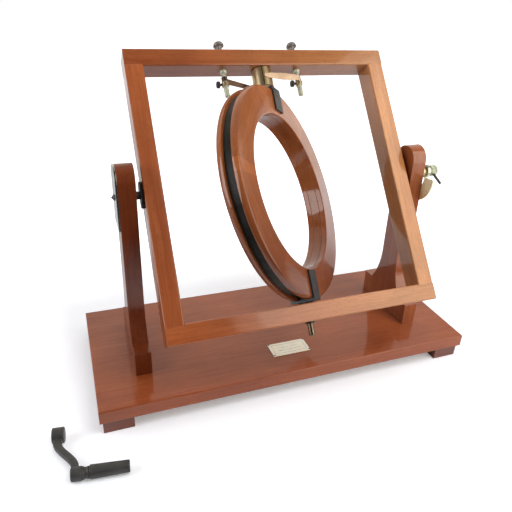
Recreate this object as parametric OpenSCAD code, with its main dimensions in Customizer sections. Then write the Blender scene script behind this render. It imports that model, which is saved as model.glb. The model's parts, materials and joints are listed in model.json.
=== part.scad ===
// Earth inductor: a wooden ring coil that turns in a square tilting frame between two uprights.
// Origin at the middle of the base, on the surface that the feet stand on; X along the base,
// Y away from the front, Z up. All sizes are in millimetres.

/* [Base] */
// Length of the baseboard
base_length = 508; // [480:1:540]
// Depth of the baseboard, front to back
base_depth = 210; // [196:1:230]
// Thickness of the baseboard
base_thickness = 18.5; // [16:0.5:22]
// Side of the square foot blocks
foot_size = 36; // [30:1:42]
// Height of the foot blocks
foot_height = 17.5; // [14:0.5:22]
// Distance of the foot blocks from the board's edges
foot_inset = 3.5; // [2:0.5:6]
// Radius of the rubbed edges of the wood
edge_radius = 1.6; // [0.6:0.2:2.4]

/* [Uprights] */
// Thickness of an upright
upright_thickness = 20; // [18:1:24]
// Gap between the tilting frame and the foot of each upright
upright_gap = 9; // [8:0.5:12]
// Inward lean of the right upright, which the clamp draws towards the frame
right_lean = 1.3; // [0:0.1:1.3]
// Height of the trunnion axis above the baseboard
pivot_height = 215.5; // [214:0.5:230]
// Height of the rounded head above the trunnion axis
head_height = 38.5; // [34:0.5:42]
// Width of the straight neck, front to back
neck_width = 37; // [30:1:40]
// Distance below the trunnion axis at which the cove starts
cove_start = 126; // [120:1:132]
// Radius of the cove
cove_radius = 97.5; // [84:0.5:110]
// Width of the plinth, front to back
plinth_width = 110; // [100:1:124]
// Height of the plinth
plinth_height = 32.5; // [28:0.5:38]

/* [Tilting frame] */
// Outside width of the frame
frame_width = 350; // [346:1:354]
// Outside height of the frame
frame_height = 352; // [350:1:356]
// Width of the frame's rails and stiles, seen from the front
rail_width = 22; // [20:0.5:22]
// Depth of the frame's rails and stiles
rail_depth = 29; // [27:0.5:32]
// Tilt of the frame from the vertical, top away from the front
tilt = 38.3; // [0:0.1:80]

/* [Ring coil] */
// Outside radius of the ring
ring_radius = 136; // [130:0.5:136]
// Radius of the hole in the ring
hole_radius = 99; // [94:0.5:102]
// Thickness of the ring
ring_thickness = 27; // [25:0.5:30]
// Thickness of each flange beside the winding
flange_thickness = 7.6; // [7:0.2:8.4]
// Depth of the winding's surface below the rim
winding_depth = 4.5; // [3:0.5:7]
// Distance of the ring's centre below the trunnion axis
ring_drop = 14; // [13.5:0.5:14.5]
// Turn of the ring about its spindle
coil_turn = 44; // [0:1:180]
// Radius of the spindle
spindle_radius = 4.2; // [3.8:0.1:4.4]
// Radius of the spindle's drive end, which fits the crank
drive_radius = 3.8; // [3.4:0.1:3.9]
// Length of the spindle that stands out under the frame
spindle_reach = 17; // [14:1:18]
// Width of the straps that hold the ring
strap_width = 20; // [16:1:24]
// Thickness of the straps
strap_thickness = 2.4; // [2:0.1:2.6]

/* [Commutator and brushes] */
// Radius of the commutator
commutator_radius = 13; // [11.5:0.5:13.5]
// Height of the commutator's segments
segment_height = 25; // [22:1:26]
// Distance of the left brush post from the middle of the top rail
left_post = 52.2; // [48:0.1:56]
// Distance of the right brush post from the middle of the top rail
right_post = 49.3; // [48:0.1:56]
// Distance of the brush posts in front of the rail's middle
post_forward = 2.5; // [0:0.5:4]
// Height of the brush leaves
leaf_height = 8; // [6:0.5:9]
// Thickness of the brush leaves
leaf_thickness = 0.6; // [0.4:0.1:0.8]

/* [Trunnions, clamp and scale] */
// Radius of the trunnion pins
pin_radius = 4; // [3.5:0.1:4.4]
// Thickness of the bearing plate on the left upright
bearing_plate = 2.5; // [2:0.1:3]
// Distance below the trunnion axis at which the bearing plate ends
plate_drop = 35; // [32:0.5:40]
// Outside radius of the graduated half circle
scale_radius = 39; // [36:0.5:42]
// Inside radius of the graduated half circle
scale_hole = 21.5; // [20:0.5:24]
// Length of the clamp's tommy bar on the long side
tommy_length = 27; // [18:0.5:30]
// Slope of the tommy bar below the horizontal
tommy_slope = 23.5; // [0:0.5:60]

/* [Crank] */
// Throw of the crank, from socket axis to grip axis
crank_throw = 56.5; // [53:0.5:58]
// Radius of the crank's socket boss
socket_radius = 9; // [8:0.5:10]
// Length of the turning grip
grip_length = 41.5; // [34:0.5:46]
// Place of the crank's socket along the base
crank_x = -299.3; // [-310:0.1:-296]
// Place of the crank's socket in front of the base's middle
crank_y = -97.6; // [-110:1:-90]
// Turn of the crank where it lies
crank_yaw = -6.8; // [-12:0.1:0]

/* [Hidden] */

$fn = 96;
small_fn = 32;

// Wood tones of the frame and ring, and the metals
mahogany = "#9c5532";
dark_mahogany = "#6e3520";
brass = "#b89a5a";
nickel = "#a9ab98";
black_iron = "#333335";

// Heights above the surface that the feet stand on
board_top = foot_height + base_thickness;
pivot_z = board_top + pivot_height;

// Frame sizes in the frame's own axes, with the trunnion axis at zero
half_width = frame_width / 2;
half_height = frame_height / 2;
rail_under = half_height - rail_width;

// Uprights
upright_inner = half_width + upright_gap;
upright_outer = upright_inner + upright_thickness;
left_outer = upright_outer;
foot_middle = upright_inner + upright_thickness / 2;
neck_half = neck_width / 2;
head_centre = head_height - neck_half;

// Faces of the leaning right upright where the trunnion axis meets them
half_x = upright_thickness / 2 * cos(right_lean);
outer_rise = (pivot_height - upright_thickness / 2 * sin(right_lean)) / cos(right_lean);
inner_rise = (pivot_height + upright_thickness / 2 * sin(right_lean)) / cos(right_lean);
right_outer = foot_middle + half_x - outer_rise * sin(right_lean);
right_inner = foot_middle - half_x - inner_rise * sin(right_lean);

// Running clearance between a shaft and its bore, and the air between moving faces
running = 0.05;
air = 0.3;

// Trunnions
trunnion_plate = 3;
plate_length = 32;
plate_width = 16;
shoulder_radius = 4.7;
bush_radius = 6.5;

// Stack outside the right upright, counted outwards along X
scale_thickness = 2;
pointer_hub_start = right_outer + 0.5;
pointer_arm_start = right_outer + scale_thickness + 1.3;
pointer_thickness = 1.2;
pointer_hub_end = right_outer + 7;
sleeve_end = right_outer + 15.3;
washer_end = right_outer + 19.5;
nut_start = washer_end + air;
nut_length = 13;
nut_end = nut_start + nut_length;
nut_radius = 7.5;
tommy_x = nut_start + nut_length / 2;
tommy_radius = 1.75;

// Ring coil
groove_width = ring_thickness - 2 * flange_thickness;
winding_radius = ring_radius - winding_depth;
core_radius = hole_radius + 13;
top_strap_leg = ring_radius - hole_radius - 6.6;
bottom_strap_leg = ring_radius - hole_radius - 2;
strap_block = 3.1;
ring_top = ring_radius - ring_drop;
ring_bottom = -ring_radius - ring_drop;
bearing_depth = 15;

// Commutator
segment_top = rail_under - 0.8;
segment_base = segment_top - segment_height;
core_base = ring_top + strap_thickness;
segment_thickness = 2.6;
slot_angle = 60;

// Brush gear
post_radius = 3.2;
stud_radius = 2.5;
bead_radius = 4.6;
bead_middle = rail_under - 2.2;
bead_foot = bead_middle - 4;
post_foot = 117;
leaf_middle = 140.5;
left_leaf_reach = 51.8;
right_leaf_reach = 50.3;
clamp_top = leaf_middle - leaf_height / 2 - 0.6;
clamp_height = 4.2;
clamp_radius = 4.9;
thumb_v = clamp_top - clamp_height / 2;
thumb_radius = 4.3;

// Terminal caps
cap_radius = 6.8;
cap_stem_radius = 4;
cap_base = half_height + 1;
cap_shoulder = half_height + 9.5;
cap_top = half_height + 16.5;

// Crank, in its own axes: socket axis along X, arm towards -Y
hub_radius = 7.6;
hub_length = 12;
hub_x = 23.2;
socket_length = 13.4;
socket_depth = 11;
socket_bore = drive_radius + 0.1;
arm_width = 7.2;
arm_height = 6.2;
arm_bend = 13;
arm_angle = 45;
crank_lean = asin((socket_radius - hub_radius) / crank_throw);
collar_length = 7;
grip_start = hub_x + hub_length / 2 + collar_length + air;

// Label plate on the baseboard
label_size = [53, 25.5];
label_y = -58.8;
label_thickness = 1.6;

// Places that follow the frame, the ring and the crank

module in_frame() {
    translate([0, 0, pivot_z])
        rotate([-tilt, 0, 0])
            children();
}

module in_ring() {
    in_frame()
        translate([0, 0, -ring_drop])
            rotate([0, 0, coil_turn])
                children();
}

module in_crank() {
    translate([crank_x, crank_y, socket_radius])
        rotate([0, 0, crank_yaw])
            rotate([crank_lean, 0, 0])
                children();
}

// Cylinder along X between two places
module rod_x(from, to, radius) {
    translate([from, 0, 0])
        rotate([0, 90, 0])
            cylinder(h = to - from, r = radius);
}

// Washer or tube along X between two places
module tube_x(from, to, radius, bore) {
    difference() {
        rod_x(from, to, radius);
        rod_x(from - 1, to + 1, bore);
    }
}

// Flat ring about Y, as thick as the given depth, centred
module disc_y(outer, inner, depth) {
    rotate([90, 0, 0])
        difference() {
            cylinder(h = depth, r = outer, center = true, $fn = 180);
            cylinder(h = depth + 2, r = inner, center = true, $fn = 180);
        }
}

// Rectangle with round corners, centred
module round_rect(width, height, radius) {
    square([width, height - 2 * radius], center = true);
    square([width - 2 * radius, height], center = true);
    for (x = [-1, 1], y = [-1, 1])
        translate([x * (width / 2 - radius), y * (height / 2 - radius)])
            circle(r = radius, $fn = small_fn);
}

// Block with rubbed edges along its X length and round its two ends
module rubbed_block(length, depth, height, radius) {
    intersection() {
        rotate([90, 0, 90])
            linear_extrude(length, center = true)
                round_rect(depth, height, radius);
        rotate([90, 0, 0])
            linear_extrude(depth, center = true)
                round_rect(length, height, radius);
    }
}

// Slot shape with round ends, standing along Y
module slot_2d(length, width) {
    square([width, length - width], center = true);
    for (side = [-1, 1])
        translate([0, side * (length - width) / 2])
            circle(d = width, $fn = small_fn);
}

// Countersunk wood screw, head upward at the origin
module wood_screw(head_radius, shank_radius, length) {
    difference() {
        union() {
            translate([0, 0, -head_radius * 0.6])
                cylinder(h = head_radius * 0.6, r1 = shank_radius, r2 = head_radius, $fn = small_fn);
            translate([0, 0, -length])
                cylinder(h = length - head_radius * 0.5, r = shank_radius, $fn = small_fn);
        }
        cube([head_radius * 3, head_radius * 0.25, head_radius * 0.5], center = true);
    }
}

// Space that a countersunk screw takes in the wood
module screw_seat(head_radius, shank_radius, length) {
    translate([0, 0, -head_radius * 0.6])
        cylinder(h = head_radius * 0.6, r1 = shank_radius, r2 = head_radius, $fn = small_fn);
    translate([0, 0, -length])
        cylinder(h = length - head_radius * 0.5, r = shank_radius, $fn = small_fn);
    cylinder(h = 1, r = head_radius, $fn = small_fn);
}

// Base

module at_feet() {
    x = base_length / 2 - foot_inset - foot_size / 2;
    y = base_depth / 2 - foot_inset - foot_size / 2;
    for (sx = [-1, 1], sy = [-1, 1])
        translate([sx * x, sy * y, 0])
            children();
}

foot_screw = [4, 1.8, 22];
foot_screw_recess = 3;

module at_foot_screws() {
    at_feet()
        translate([0, 0, foot_screw_recess])
            rotate([180, 0, 0])
                children();
}

module at_upright_screws() {
    for (side = [-1, 1], y = [-1, 1])
        translate([side * (upright_inner + upright_thickness / 2), y * plinth_width * 0.3, foot_height])
            rotate([180, 0, 0])
                children();
}

upright_screw = [5, 2.4, 44];

module baseboard() {
    color(mahogany)
        difference() {
            translate([0, 0, foot_height + base_thickness / 2])
                rubbed_block(base_length, base_depth, base_thickness, edge_radius);
            at_foot_screws() screw_seat(foot_screw[0], foot_screw[1], foot_screw[2]);
            at_upright_screws() screw_seat(upright_screw[0], upright_screw[1], upright_screw[2]);
        }
}

module feet() {
    color(dark_mahogany)
        difference() {
            at_feet()
                translate([-foot_size / 2, -foot_size / 2, 0])
                    cube([foot_size, foot_size, foot_height]);
            at_foot_screws() screw_seat(foot_screw[0], foot_screw[1], foot_screw[2]);
            at_feet() translate([0, 0, -1]) cylinder(h = foot_screw_recess + 1, r = foot_screw[0]);
        }
}

module foot_screws() {
    color(brass)
        at_foot_screws() wood_screw(foot_screw[0], foot_screw[1], foot_screw[2]);
}

// Uprights

// Place of the right upright, which leans about the middle of its foot
module in_right_upright() {
    translate([foot_middle, 0, board_top])
        rotate([0, -right_lean, 0])
            children();
}

module upright_outline() {
    seat = 0.5;
    cove_z = pivot_height - cove_start;
    cove_height = cove_z - plinth_height;
    cove_foot = neck_half + cove_radius - sqrt(cove_radius ^ 2 - cove_height ^ 2);
    translate([-plinth_width / 2, -seat])
        square([plinth_width, plinth_height + seat]);
    translate([-neck_half, cove_z])
        square([neck_width, pivot_height + head_centre - cove_z]);
    translate([0, pivot_height + head_centre])
        circle(r = neck_half);
    difference() {
        translate([-cove_foot, plinth_height])
            square([2 * cove_foot, cove_height]);
        for (side = [-1, 1])
            translate([side * (neck_half + cove_radius), cove_z])
                circle(r = cove_radius, $fn = 240);
    }
}

module upright_blank() {
    rotate([90, 0, 90])
        linear_extrude(upright_thickness, center = true)
            upright_outline();
}

// Cuts that both uprights have: the foot's seat on the board, the bush hole and the screws
module upright_cuts(side) {
    translate([side * foot_middle, 0, board_top - 5])
        cube([2 * upright_thickness, plinth_width + 10, 10], center = true);
    translate([side * foot_middle, 0, pivot_z])
        rod_x(-2 * upright_thickness, 2 * upright_thickness, bush_radius);
    at_upright_screws() screw_seat(upright_screw[0], upright_screw[1], upright_screw[2]);
}

module left_upright() {
    color(dark_mahogany)
        difference() {
            translate([-foot_middle, 0, board_top])
                upright_blank();
            upright_cuts(-1);
            at_bearing_screws() screw_seat(bearing_screw[0], bearing_screw[1], bearing_screw[2]);
        }
}

module right_upright() {
    color(dark_mahogany)
        difference() {
            in_right_upright()
                upright_blank();
            upright_cuts(1);
            at_scale_screws() screw_seat(scale_screw[0], scale_screw[1], scale_screw[2]);
        }
}

module upright_screws() {
    color(brass)
        at_upright_screws() wood_screw(upright_screw[0], upright_screw[1], upright_screw[2]);
}

// Bearing plate on the outside of the left upright, which follows its rounded head

bearing_screw = [3, 1.5, 15];
bearing_screw_rise = 24;

module at_bearing_screws() {
    for (end = [-1, 1])
        translate([-left_outer - bearing_plate, 0, pivot_z + end * bearing_screw_rise])
            rotate([0, -90, 0])
                children();
}

module left_bearing_plate() {
    color(black_iron)
        difference() {
            translate([-left_outer - bearing_plate, 0, pivot_z])
                rotate([90, 0, 90])
                    linear_extrude(bearing_plate) {
                        translate([-neck_half, -plate_drop])
                            square([neck_width, plate_drop + head_centre]);
                        translate([0, head_centre])
                            circle(r = neck_half);
                    }
            translate([0, 0, pivot_z])
                rod_x(-left_outer - 2 * bearing_plate, -left_outer + 1, pin_radius + running);
            at_bearing_screws() screw_seat(bearing_screw[0], bearing_screw[1], bearing_screw[2]);
        }
}

module bearing_plate_screws() {
    color(black_iron)
        at_bearing_screws() wood_screw(bearing_screw[0], bearing_screw[1], bearing_screw[2]);
}

module left_bush() {
    color(brass)
        translate([0, 0, pivot_z])
            tube_x(-left_outer, -upright_inner, bush_radius, pin_radius + running);
}

module right_bush() {
    color(brass)
        translate([0, 0, pivot_z])
            tube_x(right_inner, right_outer, bush_radius, pin_radius + running);
}

// Label plate: a bare plate with a sloping border and four round-headed pins

module label_plate() {
    border = 1.4;
    color("#efe6cf")
        translate([0, label_y, board_top])
            difference() {
                translate([0, 0, label_thickness / 2])
                    rubbed_block(label_size.x, label_size.y, label_thickness, 0.5);
                translate([0, 0, label_thickness - 0.3])
                    linear_extrude(1)
                        round_rect(label_size.x - 5.6, label_size.y - 5.6, border);
                at_label_pins() translate([0, 0, -1]) cylinder(h = 5, r = 0.6, $fn = small_fn);
            }
}

module at_label_pins() {
    for (sx = [-1, 1], sy = [-1, 1])
        translate([sx * (label_size.x / 2 - 1.5), sy * (label_size.y / 2 - 1.5), 0])
            children();
}

module label_pins() {
    head = 1;
    color(brass)
        translate([0, label_y, board_top])
            at_label_pins() {
                cylinder(h = label_thickness, r = 0.6, $fn = small_fn);
                translate([0, 0, label_thickness])
                    rotate_extrude($fn = small_fn)
                        intersection() {
                            circle(r = head, $fn = small_fn);
                            square([head, head]);
                        }
            }
}

// Graduated half circle below the trunnion axis, on the outside of the right upright

scale_screw = [2.6, 1.2, 12];
scale_screw_ring = 30;
scale_screw_angle = 30;

module at_scale_screws() {
    in_right_upright()
        for (side = [-1, 1])
            translate([upright_thickness / 2 + scale_thickness, 0, outer_rise])
                rotate([180 + side * scale_screw_angle, 0, 0])
                    translate([0, 0, scale_screw_ring])
                        rotate([0, 90, 0])
                            children();
}

module scale_arc() {
    tick_depth = 0.25;
    tick_half = 0.16;
    color(brass)
        difference() {
            in_right_upright()
                translate([upright_thickness / 2, 0, outer_rise])
                    tube_x(0, scale_thickness, scale_radius, scale_hole);
            in_right_upright()
                translate([0, -2 * scale_radius, outer_rise])
                    cube([upright_thickness, 4 * scale_radius, 2 * scale_radius]);
            at_scale_screws() screw_seat(scale_screw[0], scale_screw[1], scale_screw[2]);
            in_right_upright()
                translate([upright_thickness / 2 + scale_thickness, 0, outer_rise])
                    for (step = [10 : 26])
                        rotate([step * 10, 0, 0])
                            translate([-tick_depth, -tick_half, scale_radius - (step % 9 == 0 ? 6 : 3.6)])
                                cube([2 * tick_depth, 2 * tick_half, 8]);
        }
}

module scale_screws() {
    color(brass)
        at_scale_screws() wood_screw(scale_screw[0], scale_screw[1], scale_screw[2]);
}

// Tilting frame. The rails run over the ends of the stiles.

module top_rail() {
    color(mahogany)
        in_frame()
            difference() {
                translate([0, 0, half_height - rail_width / 2])
                    rubbed_block(frame_width, rail_depth, rail_width, edge_radius);
                frame_corners();
                translate([0, 0, rail_under - 1])
                    cylinder(h = bearing_depth + 1, r = bush_radius);
                for (side = [-1, 1])
                    translate([post_x(side), -post_forward, rail_under - 1])
                        cylinder(h = rail_width + 2, r = stud_radius, $fn = small_fn);
            }
}

module bottom_rail() {
    color(mahogany)
        in_frame()
            difference() {
                translate([0, 0, -half_height + rail_width / 2])
                    rubbed_block(frame_width, rail_depth, rail_width, edge_radius);
                frame_corners();
                translate([0, 0, -half_height - 1])
                    cylinder(h = rail_width + 2, r = bush_radius);
            }
}

// Room for the ends of the stiles, which keep the rails' rubbed inner edges off the joints
module frame_corners() {
    for (side = [-1, 1], end = [-1, 1])
        translate([side * (half_width - rail_width / 2), 0, end * rail_under])
            cube([rail_width + 0.02, rail_depth + 2, 2 * edge_radius], center = true);
}

module stile(side) {
    color(mahogany)
        in_frame()
            difference() {
                translate([side * (half_width - rail_width / 2), 0, 0])
                    linear_extrude(2 * (rail_under + edge_radius), center = true)
                        round_rect(rail_width, rail_depth, edge_radius);
                translate([side * half_width, 0, 0])
                    rod_x(-12.5, 12.5, stud_radius);
                at_plate_screws(side) screw_seat(plate_screw[0], plate_screw[1], plate_screw[2]);
            }
}

module left_stile() {
    stile(-1);
}

module right_stile() {
    stile(1);
}

// Trunnion plates and pins. Each plate has two countersunk screws into its stile.

plate_screw = [3, 1.5, 14];

module at_plate_screws(side) {
    for (end = [-1, 1])
        translate([side * (half_width + trunnion_plate), 0, end * (plate_length / 2 - 5.5)])
            rotate([0, side * 90, 0])
                children();
}

module trunnion_plate(side) {
    color(black_iron)
        in_frame()
            difference() {
                translate([side * (half_width + trunnion_plate / 2), 0, 0])
                    rotate([90, 0, 90])
                        linear_extrude(trunnion_plate, center = true)
                            slot_2d(plate_length, plate_width);
                at_plate_screws(side) screw_seat(plate_screw[0], plate_screw[1], plate_screw[2]);
                translate([side * half_width, 0, 0])
                    rod_x(-5, 5, stud_radius);
            }
}

module left_trunnion_plate() {
    trunnion_plate(-1);
}

module right_trunnion_plate() {
    trunnion_plate(1);
}

module trunnion_plate_screws() {
    color(black_iron)
        in_frame()
            for (side = [-1, 1])
                at_plate_screws(side) wood_screw(plate_screw[0], plate_screw[1], plate_screw[2]);
}

// Pin from the frame outwards: tail in the stile, shoulder, journal
module trunnion_pin(bush_face, journal_end) {
    shoulder_start = half_width + trunnion_plate;
    shoulder_end = bush_face - air;
    rod_x(half_width - 12, shoulder_start + 0.01, stud_radius);
    rod_x(shoulder_start, shoulder_end, shoulder_radius);
    rod_x(shoulder_end - 0.01, journal_end, pin_radius);
}

module left_trunnion_pin() {
    point = 3.3;
    journal_end = left_outer + bearing_plate + air;
    color(black_iron)
        in_frame()
            mirror([1, 0, 0]) {
                trunnion_pin(upright_inner, journal_end);
                translate([journal_end, 0, 0])
                    rotate([0, 90, 0])
                        cylinder(h = point, r1 = pin_radius, r2 = 0.6);
            }
}

module right_trunnion_pin() {
    color(nickel)
        in_frame()
            trunnion_pin(right_inner, nut_end + 1);
}

// Index, distance sleeve and washer turn with the frame

module index_pointer() {
    hub_radius = 7;
    root_half = 3;
    tip_half = 0.5;
    color(black_iron)
        in_frame() {
            tube_x(pointer_hub_start, pointer_hub_end, hub_radius, pin_radius);
            translate([pointer_arm_start, 0, 0])
                rotate([90, 0, 90])
                    linear_extrude(pointer_thickness)
                        difference() {
                            polygon([
                                [-root_half, 0],
                                [root_half, 0],
                                [tip_half, 3 - scale_radius],
                                [-tip_half, 3 - scale_radius]
                            ]);
                            circle(r = hub_radius - 0.5);
                        }
        }
}

module distance_sleeve() {
    color(brass)
        in_frame()
            tube_x(pointer_hub_end, sleeve_end, 6, pin_radius);
}

module clamp_washer() {
    color("#8d8378")
        in_frame()
            tube_x(sleeve_end, washer_end, 9, pin_radius);
}

// Clamp nut and its tommy bar

module clamp_nut() {
    groove = 0.8;
    color(nickel)
        in_frame()
            difference() {
                translate([nut_start, 0, 0])
                    rotate([0, 90, 0])
                        rotate_extrude()
                            polygon([
                                [pin_radius + running, 0],
                                [nut_radius - groove, 0],
                                [nut_radius, groove],
                                [nut_radius, nut_length - groove],
                                [nut_radius - groove, nut_length],
                                [pin_radius + running, nut_length]
                            ]);
                in_tommy() cylinder(h = 2 * nut_radius, r = tommy_radius);
            }
}

// Place of the tommy bar, with +Z along its long end
module in_tommy() {
    translate([tommy_x, 0, 0])
        rotate([90 + tommy_slope + tilt, 0, 0])
            children();
}

module clamp_lever() {
    ball = 1.9;
    root = pin_radius + 0.6;
    color(black_iron)
        in_frame()
            in_tommy() {
                translate([0, 0, root])
                    cylinder(h = tommy_length - ball - root, r = tommy_radius);
                translate([0, 0, tommy_length - ball])
                    sphere(r = ball, $fn = small_fn);
            }
}

// Bearings of the spindle in the rails

module top_bearing() {
    color(brass)
        in_frame()
            translate([0, 0, rail_under])
                difference() {
                    cylinder(h = bearing_depth, r = bush_radius);
                    translate([0, 0, -1])
                        cylinder(h = bearing_depth - 1, r = spindle_radius + running);
                }
}

module bottom_bearing() {
    flange_top = rail_width + 1.2;
    color(brass)
        in_frame()
            translate([0, 0, -half_height])
                difference() {
                    union() {
                        cylinder(h = rail_width, r = bush_radius);
                        translate([0, 0, rail_width])
                            cylinder(h = flange_top - rail_width, r = 9);
                        translate([0, 0, -2])
                            cylinder(h = 2, r = 6);
                    }
                    translate([0, 0, -3])
                        cylinder(h = flange_top + 4, r = spindle_radius + running);
                }
}

// Brush posts, each one rod from the brush up through the rail to its terminal

function post_x(side) = side > 0 ? right_post : -left_post;

module at_post(side) {
    in_frame()
        translate([post_x(side), -post_forward, 0])
            children();
}

module brush_post(side) {
    neck = 2.3;
    neck_foot = leaf_middle + leaf_height / 2 + 0.3;
    color(nickel)
        at_post(side)
            rotate_extrude(convexity = 4)
                union() {
                    translate([0, post_foot + 0.8])
                        square([post_radius, neck_foot - post_foot - 0.8]);
                    translate([0, post_foot])
                        square([post_radius - 0.6, 1]);
                    translate([0, neck_foot - 0.01])
                        square([neck, bead_foot - neck_foot + 1]);
                    intersection() {
                        translate([0, bead_middle])
                            circle(r = bead_radius);
                        translate([0, bead_foot])
                            square([bead_radius, rail_under - bead_foot]);
                    }
                    translate([0, rail_under - 0.01])
                        square([stud_radius, cap_shoulder - rail_under + 2]);
                }
}

module left_brush_post() {
    brush_post(-1);
}

module right_brush_post() {
    brush_post(1);
}

// Brush leaf: an eye round the post and a tapered strip that lies along the commutator.
// The strip's slope follows from the post's place and the commutator's radius.
module brush_leaf(side, reach, droop) {
    eye = post_radius + running;
    strip_off = commutator_radius + air + leaf_thickness / 2;
    post_angle = atan2(side * post_forward, abs(post_x(side)));
    post_distance = sqrt(post_x(side) ^ 2 + post_forward ^ 2);
    strip_from = eye + leaf_thickness / 2 - 0.05;
    slope = asin((strip_off - strip_from) / post_distance) - post_angle;
    color("#d2a679")
        at_post(side)
            rotate([0, 0, side > 0 ? 0 : 180])
                translate([0, 0, leaf_middle])
                    difference() {
                        union() {
                            cylinder(h = leaf_height, r = eye + leaf_thickness, center = true);
                            rotate([0, 0, slope])
                                translate([0, -strip_from, 0])
                                    rotate([90, 0, 0])
                                        linear_extrude(leaf_thickness, center = true)
                                            leaf_strip(reach, droop);
                        }
                        cylinder(h = leaf_height + 2, r = eye, center = true);
                    }
}

// Strip of a brush leaf, which is broad up to its rounded tip and may droop beyond the clamp
module leaf_strip(reach, droop) {
    tip = 2.4;
    half = leaf_height / 2 - 0.1;
    flat = clamp_radius + 1;
    bend = reach * 0.78;
    polygon([
        [0, -half],
        [0, half],
        [-flat, half],
        [-bend, half - 0.3 - (bend - flat) * tan(droop)],
        [-reach, tip - (reach - flat) * tan(droop)],
        [-reach, -tip - (reach - flat) * tan(droop)],
        [-bend, 0.3 - half - (bend - flat) * tan(droop)],
        [-flat, -half]
    ]);
    translate([-reach, -(reach - flat) * tan(droop)])
        circle(r = tip, $fn = small_fn);
}

module left_brush_leaf() {
    brush_leaf(-1, left_leaf_reach, 8);
}

module right_brush_leaf() {
    brush_leaf(1, right_leaf_reach, 0);
}

module brush_clamp(side) {
    color(nickel)
        at_post(side)
            translate([0, 0, clamp_top - clamp_height])
                difference() {
                    cylinder(h = clamp_height, r = clamp_radius);
                    translate([0, 0, -1])
                        cylinder(h = clamp_height + 2, r = post_radius + running);
                    translate([0, 0, clamp_height / 2])
                        rod_x(-2 * clamp_radius, 0, 1.5 + running, $fn = small_fn);
                }
}

module left_brush_clamp() {
    brush_clamp(-1);
}

module right_brush_clamp() {
    brush_clamp(1);
}

module thumb_screw(side) {
    inner = post_radius + 0.4;
    knob_near = clamp_radius + 2.6;
    knob_far = clamp_radius + 7;
    color(black_iron)
        at_post(side)
            translate([0, 0, thumb_v])
                rotate([0, -90, 0])
                    rotate_extrude($fn = 48)
                        polygon([
                            [0, inner],
                            [1.5, inner],
                            [1.5, knob_near - 0.8],
                            [2.4, knob_near],
                            [thumb_radius - 0.5, knob_near],
                            [thumb_radius, knob_near + 0.5],
                            [thumb_radius, knob_far - 1],
                            [thumb_radius - 1, knob_far],
                            [0, knob_far]
                        ]);
}

module left_thumb_screw() {
    thumb_screw(-1);
}

module right_thumb_screw() {
    thumb_screw(1);
}

module terminal_washers() {
    color(nickel)
        for (side = [-1, 1])
            at_post(side)
                translate([0, 0, half_height])
                    difference() {
                        cylinder(h = 0.7, r = 6);
                        translate([0, 0, -1])
                            cylinder(h = 3, r = stud_radius);
                    }
}

// Mushroom cap on a terminal: stem, shoulder and dome, with a blind bore for the stud
module terminal_cap(side) {
    dome = 6.2;
    rim = cap_top - dome;
    sphere_radius = (cap_radius ^ 2 + dome ^ 2) / (2 * dome);
    color(nickel)
        at_post(side)
            difference() {
                union() {
                    translate([0, 0, cap_base])
                        cylinder(h = cap_shoulder - cap_base + 0.5, r = cap_stem_radius);
                    translate([0, 0, cap_shoulder])
                        cylinder(h = rim - cap_shoulder, r = cap_radius);
                    translate([0, 0, rim - 0.01])
                        intersection() {
                            translate([0, 0, dome - sphere_radius])
                                sphere(r = sphere_radius, $fn = 72);
                            cylinder(h = dome + 1, r = cap_radius);
                        }
                }
                translate([0, 0, cap_base - 1])
                    cylinder(h = cap_shoulder - cap_base + 4, r = stud_radius + running);
            }
}

module left_terminal_cap() {
    terminal_cap(-1);
}

module right_terminal_cap() {
    terminal_cap(1);
}

// Ring: two wooden flanges on a core, with the winding in the groove between them

strap_screw = [2.8, 1.4, 6.8];
strap_screw_radii = [hole_radius + 12, hole_radius + 27];

// Screws in the straps' legs, on both faces of the ring, heads outward
module at_strap_screws() {
    for (end = [-1, 1], face = [-1, 1], r = strap_screw_radii)
        translate([0, face * (ring_thickness / 2 + strap_thickness), end * r])
            rotate([-face * 90, 0, 0])
                children();
}

module flange(face) {
    color(mahogany)
        in_ring()
            difference() {
                translate([0, -face * (ring_thickness - flange_thickness) / 2, 0])
                    rotate([90, 0, 0])
                        rotate_extrude($fn = 180)
                            translate([(ring_radius + hole_radius) / 2, 0])
                                flange_section(face);
                at_strap_screws() screw_seat(strap_screw[0], strap_screw[1], strap_screw[2]);
                translate([-strap_width / 2, -ring_thickness, -ring_radius - 5])
                    cube([strap_width, 2 * ring_thickness, 5 + strap_block]);
            }
}

// Section of a flange, with its outer arris rounded on the side away from the winding
module flange_section(face) {
    arris = 2;
    width = ring_radius - hole_radius;
    mirror([0, face > 0 ? 0 : 1])
        difference() {
            square([width, flange_thickness], center = true);
            translate([width / 2 - arris, flange_thickness / 2 - arris])
                difference() {
                    square(arris + 1);
                    circle(r = arris, $fn = small_fn);
                }
        }
}

module front_flange() {
    flange(1);
}

module back_flange() {
    flange(-1);
}

module ring_core() {
    color(mahogany)
        in_ring()
            disc_y(core_radius, hole_radius, groove_width);
}

module coil_winding() {
    color("#2f302c")
        in_ring()
            disc_y(winding_radius, core_radius, groove_width);
}

// Two insulated leads from the winding up to the commutator's core, one on each side of the strap
module coil_leads() {
    lead = 0.8;
    side_x = commutator_radius + 0.1;
    rise_from = sqrt(winding_radius ^ 2 - (side_x - lead) ^ 2) + 0.02;
    rise_to = core_base + ring_drop + 1.6;
    color("#4b4b40")
        in_ring()
            for (side = [-1, 1]) {
                translate([side * side_x, 0, rise_from])
                    cylinder(h = rise_to - rise_from, r = lead, $fn = small_fn);
                translate([side * side_x, 0, rise_to])
                    sphere(r = lead, $fn = small_fn);
                translate([side * side_x, 0, rise_to])
                    rotate([0, -side * 90, 0])
                        cylinder(h = side_x - 9, r = lead, $fn = small_fn);
            }
}

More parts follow.
